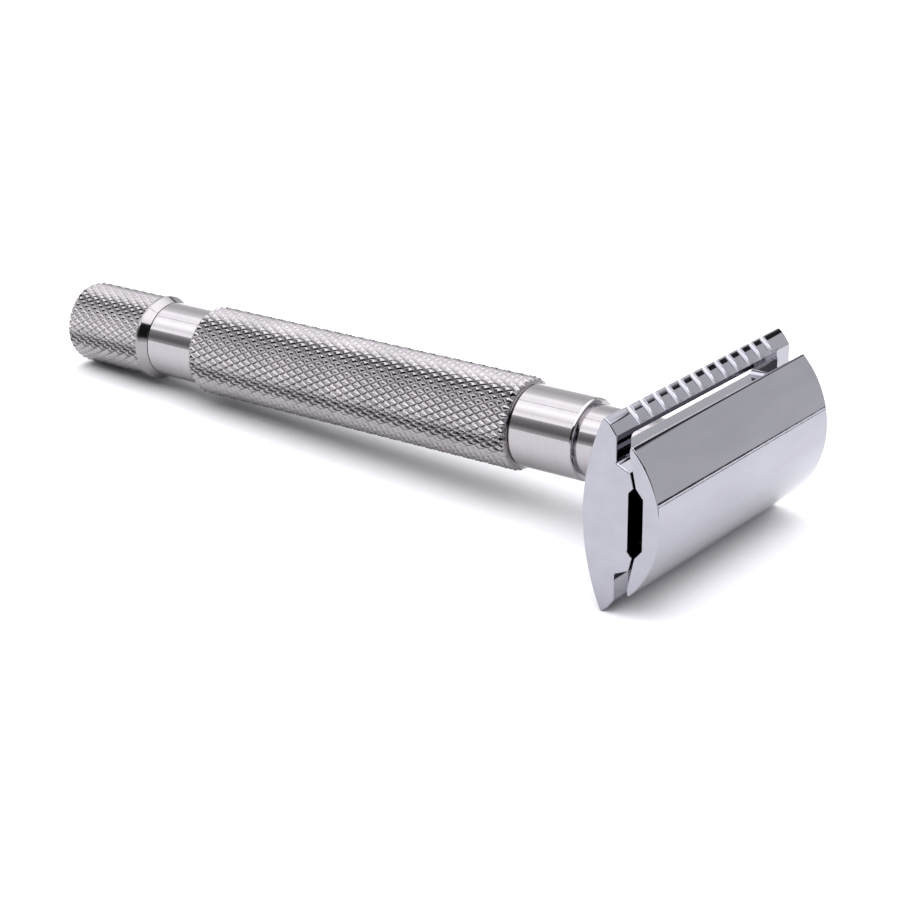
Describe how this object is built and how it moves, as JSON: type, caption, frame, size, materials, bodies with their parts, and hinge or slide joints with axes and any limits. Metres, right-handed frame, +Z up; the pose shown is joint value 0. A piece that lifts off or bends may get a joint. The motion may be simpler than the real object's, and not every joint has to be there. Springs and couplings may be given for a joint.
{
  "type": "safety razor",
  "caption": "Double-edge safety razor with a knurled handle and a twist knob that raises the cap, so that a blade can be laid on the scalloped guard plate.",
  "frame": {"origin": "centre of the knob's flat end face, on the axis of the handle", "axes": "+X runs along the handle from the knob to the cap, +Y along the length of the head, +Z is up as the razor lies on a table"},
  "size_m": [0.1154, 0.0434, 0.0254],
  "materials": {
    "head_chrome": "mirror polished chrome plate",
    "handle_chrome": "turned and chrome plated",
    "knurled_chrome": "diamond knurled, chrome plated, slightly satin",
    "brass": "machined, bare",
    "spring_steel": "machined, bare",
    "washer_plastic": "plain natural nylon"
  },
  "bodies": {
    "handle": {"guard_plate": "head_chrome", "neck_tube": "handle_chrome", "upper_collar": "handle_chrome", "grip_sleeve": "knurled_chrome", "core_tube": "brass", "lower_collar": "handle_chrome", "rear_bush": "brass", "front_bush": "brass", "wave_washer": "spring_steel"},
    "knob": {"knob_body": "knurled_chrome", "knob_end_disc": "handle_chrome", "knob_screw": "spring_steel", "thrust_washer": "washer_plastic", "draw_rod": "spring_steel", "draw_socket": "brass", "socket_pin": "spring_steel"},
    "cap": {"cap_shell": "head_chrome", "cap_stud": "head_chrome", "cap_post_left": "head_chrome", "cap_post_right": "head_chrome"}
  },
  "joints": [
    {"name": "knob_turn", "type": "hinge", "parent": "handle", "child": "knob", "pos_m": [0, 0, 0], "axis": [-1, 0, 0], "range_deg": [0, 3240]},
    {"name": "cap_lift", "type": "slide", "parent": "handle", "child": "cap", "axis": [1, 0, 0], "range_m": [0, 0.0072]}
  ],
  "couplings": [
    {"joint": "cap_lift", "follows": "knob_turn", "m_per_rad": 0.00012732}
  ]
}
